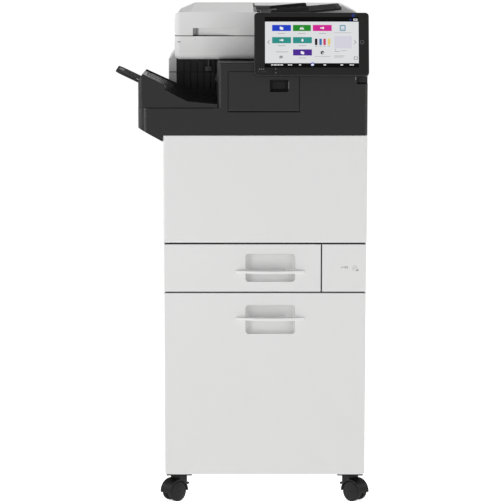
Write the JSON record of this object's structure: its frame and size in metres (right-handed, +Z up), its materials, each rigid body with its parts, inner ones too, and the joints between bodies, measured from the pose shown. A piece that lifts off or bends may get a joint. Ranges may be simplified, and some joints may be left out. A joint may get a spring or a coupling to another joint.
{
  "type": "photocopier",
  "caption": "Office photocopier on a castor cabinet: document feeder, tilting touch panel, output shelf, paper tray and storage drawer, all with their real joints.",
  "frame": {"origin": "on the floor under the middle of the cabinet", "axes": "+X to the operator's right, +Y to the back, +Z up"},
  "size_m": [0.6292, 0.6144, 1.2263],
  "materials": {
    "casing_light": "fine-textured warm white moulding",
    "cabinet_paint": "powder coat, fine orange peel",
    "handle_light": "smooth satin moulding",
    "charcoal_plastic": "grained charcoal moulding",
    "panel_plastic": "satin charcoal moulding",
    "screen_glass": "glossy touch screen, lit",
    "platen_clear": "clear float glass",
    "pad_white": "white foam-backed sheet",
    "inner_grey": "plain grey moulding",
    "sheet_steel": "zinc-coated sheet",
    "unit_black": "black unit housings",
    "board_green": "solder mask",
    "roller_rubber": "matt rubber on steel shafts",
    "caster_black": "satin black nylon",
    "caster_tyre": "matt black tread"
  },
  "bodies": {
    "root": {"caster_brackets": "sheet_steel", "cabinet_shell": "cabinet_paint", "cabinet_rails": "sheet_steel", "tray_housing": "casing_light", "tray_side_cover": "casing_light", "side_covers": "casing_light", "rear_cover": "casing_light", "frame_plates": "sheet_steel", "upper_housing": "charcoal_plastic", "output_tray": "charcoal_plastic", "rear_housing": "charcoal_plastic", "scanner_tub": "casing_light", "platen_glass": "platen_clear", "scan_rail": "sheet_steel", "panel_bracket": "sheet_steel", "toner_cartridges": "unit_black", "imaging_units": "unit_black", "transfer_unit": "unit_black", "laser_unit": "unit_black", "fuser_frame": "sheet_steel", "power_supply": "sheet_steel", "controller_board": "board_green", "staple_unit": "unit_black"},
    "caster_front_left": {"caster_hood_front_left": "caster_black"},
    "wheels_front_left": {"caster_wheels_front_left": "caster_tyre"},
    "caster_front_right": {"caster_hood_front_right": "caster_black"},
    "wheels_front_right": {"caster_wheels_front_right": "caster_tyre"},
    "caster_rear_left": {"caster_hood_rear_left": "caster_black"},
    "wheels_rear_left": {"caster_wheels_rear_left": "caster_tyre"},
    "caster_rear_right": {"caster_hood_rear_right": "caster_black"},
    "wheels_rear_right": {"caster_wheels_rear_right": "caster_tyre"},
    "storage_drawer": {"drawer_front": "casing_light", "drawer_bin": "inner_grey", "drawer_handle": "handle_light"},
    "paper_tray": {"tray_front": "casing_light", "tray_tub": "inner_grey", "tray_handle": "handle_light"},
    "paper_lift": {"lift_plate": "inner_grey"},
    "paper_guide_front": {"side_guide_front": "inner_grey"},
    "paper_guide_rear": {"side_guide_rear": "inner_grey"},
    "paper_guide_end": {"end_guide": "inner_grey"},
    "engine_cover": {"front_cover": "casing_light"},
    "staple_access": {"staple_door": "charcoal_plastic"},
    "operation_panel": {"panel_housing": "panel_plastic", "touch_screen": "screen_glass"},
    "power_button": {"power_key": "charcoal_plastic"},
    "feeder_lid": {"adf_base": "casing_light", "platen_pad": "pad_white"},
    "feeder_cover": {"feed_cover": "casing_light"},
    "document_deck": {"document_tray": "charcoal_plastic"},
    "document_guide_front": {"doc_guide_front": "charcoal_plastic"},
    "document_guide_rear": {"doc_guide_rear": "charcoal_plastic"},
    "pick_roller": {"adf_roller": "roller_rubber"},
    "carriage": {"scan_carriage": "inner_grey"},
    "extension": {"tray_extension": "charcoal_plastic"},
    "jam_door": {"right_door": "casing_light"},
    "bypass": {"bypass_tray": "casing_light"},
    "tray_feed_roller": {"feed_roller": "roller_rubber"},
    "fuser_roll": {"fuser_roller": "roller_rubber"},
    "cooling_fan": {"fan_rotor": "unit_black"}
  },
  "joints": [
    {"name": "caster_swivel_front_left", "type": "hinge", "parent": "root", "child": "caster_front_left", "pos_m": [-0.213, -0.232, 0.07], "axis": [0, 0, 1], "continuous": true},
    {"name": "caster_roll_front_left", "type": "hinge", "parent": "caster_front_left", "child": "wheels_front_left", "pos_m": [-0.22599, -0.24446, 0.025], "axis": [-0.6921, 0.7218, 0], "continuous": true},
    {"name": "caster_swivel_front_right", "type": "hinge", "parent": "root", "child": "caster_front_right", "pos_m": [0.213, -0.232, 0.07], "axis": [0, 0, 1], "continuous": true},
    {"name": "caster_roll_front_right", "type": "hinge", "parent": "caster_front_right", "child": "wheels_front_right", "pos_m": [0.22599, -0.24446, 0.025], "axis": [-0.6921, -0.7218, 0], "continuous": true},
    {"name": "caster_swivel_rear_left", "type": "hinge", "parent": "root", "child": "caster_rear_left", "pos_m": [-0.213, 0.225, 0.07], "axis": [0, 0, 1], "continuous": true},
    {"name": "caster_roll_rear_left", "type": "hinge", "parent": "caster_rear_left", "child": "wheels_rear_left", "pos_m": [-0.22457, 0.23879, 0.025], "axis": [0.766, 0.6428, 0], "continuous": true},
    {"name": "caster_swivel_rear_right", "type": "hinge", "parent": "root", "child": "caster_rear_right", "pos_m": [0.213, 0.225, 0.07], "axis": [0, 0, 1], "continuous": true},
    {"name": "caster_roll_rear_right", "type": "hinge", "parent": "caster_rear_right", "child": "wheels_rear_right", "pos_m": [0.22775, 0.23532, 0.025], "axis": [0.5736, -0.8192, 0], "continuous": true},
    {"name": "storage_drawer_slide", "type": "slide", "parent": "root", "child": "storage_drawer", "axis": [0, -1, 0], "range_m": [0, 0.38]},
    {"name": "paper_tray_slide", "type": "slide", "parent": "root", "child": "paper_tray", "axis": [0, -1, 0], "range_m": [0, 0.33]},
    {"name": "paper_lift_hinge", "type": "hinge", "parent": "paper_tray", "child": "paper_lift", "pos_m": [-0.04, 0, 0.551], "axis": [0, -1, 0], "range_deg": [0, 10]},
    {"name": "paper_guide_front_slide", "type": "slide", "parent": "paper_tray", "child": "paper_guide_front", "axis": [0, 1, 0], "range_m": [0, 0.031]},
    {"name": "paper_guide_rear_slide", "type": "slide", "parent": "paper_tray", "child": "paper_guide_rear", "axis": [0, 1, 0], "range_m": [-0.031, 0]},
    {"name": "paper_guide_end_slide", "type": "slide", "parent": "paper_tray", "child": "paper_guide_end", "axis": [1, 0, 0], "range_m": [0, 0.087]},
    {"name": "front_cover_hinge", "type": "hinge", "parent": "root", "child": "engine_cover", "pos_m": [0, -0.272, 0.665], "axis": [1, 0, 0], "range_deg": [0, 90]},
    {"name": "staple_door_hinge", "type": "hinge", "parent": "root", "child": "staple_access", "pos_m": [0, -0.275, 0.985], "axis": [1, 0, 0], "range_deg": [0, 90]},
    {"name": "panel_tilt", "type": "hinge", "parent": "root", "child": "operation_panel", "pos_m": [0, -0.299, 1.106], "axis": [-1, 0, 0], "range_deg": [-5, 20]},
    {"name": "power_key_press", "type": "slide", "parent": "root", "child": "power_button", "axis": [0, 1, 0], "range_m": [0, 0.002], "stiffness_N_per_m": 300},
    {"name": "feeder_lid_hinge", "type": "hinge", "parent": "root", "child": "feeder_lid", "pos_m": [0, 0.269, 1.165], "axis": [-1, 0, 0], "range_deg": [0, 65]},
    {"name": "feeder_cover_hinge", "type": "hinge", "parent": "feeder_lid", "child": "feeder_cover", "pos_m": [-0.213, 0, 1.202], "axis": [0, -1, 0], "range_deg": [0, 65]},
    {"name": "document_tray_hinge", "type": "hinge", "parent": "feeder_lid", "child": "document_deck", "pos_m": [-0.015, 0, 1.203], "axis": [0, -1, 0], "range_deg": [0, 30]},
    {"name": "document_guide_front_slide", "type": "slide", "parent": "document_deck", "child": "document_guide_front", "axis": [0, 1, 0], "range_m": [0, 0.054]},
    {"name": "document_guide_rear_slide", "type": "slide", "parent": "document_deck", "child": "document_guide_rear", "axis": [0, 1, 0], "range_m": [-0.054, 0]},
    {"name": "pick_roller_spin", "type": "hinge", "parent": "feeder_lid", "child": "pick_roller", "pos_m": [-0.08, 0, 1.19], "axis": [0, 1, 0], "continuous": true},
    {"name": "scan_carriage_slide", "type": "slide", "parent": "root", "child": "carriage", "axis": [1, 0, 0], "range_m": [0, 0.33]},
    {"name": "tray_extension_slide", "type": "slide", "parent": "root", "child": "extension", "axis": [-0.9026, 0, 0.4305], "range_m": [-0.05, 0]},
    {"name": "right_door_hinge", "type": "hinge", "parent": "root", "child": "jam_door", "pos_m": [0.244, 0.01, 0.697], "axis": [0, 1, 0], "range_deg": [0, 75]},
    {"name": "bypass_tray_hinge", "type": "hinge", "parent": "jam_door", "child": "bypass", "pos_m": [0.2464, -0.01, 0.7234], "axis": [0, 1, 0], "range_deg": [0, 70]},
    {"name": "feed_roller_spin", "type": "hinge", "parent": "root", "child": "tray_feed_roller", "pos_m": [0.105, -0.085, 0.645], "axis": [0, 1, 0], "continuous": true},
    {"name": "fuser_roller_spin", "type": "hinge", "parent": "root", "child": "fuser_roll", "pos_m": [0.214, -0.1, 0.98], "axis": [0, 1, 0], "continuous": true},
    {"name": "fan_rotor_spin", "type": "hinge", "parent": "root", "child": "cooling_fan", "pos_m": [-0.11, 0.248, 0.85], "axis": [0, 1, 0], "continuous": true}
  ],
  "couplings": [
    {"joint": "paper_guide_rear_slide", "follows": "paper_guide_front_slide", "ratio": -1},
    {"joint": "document_guide_rear_slide", "follows": "document_guide_front_slide", "ratio": -1}
  ]
}
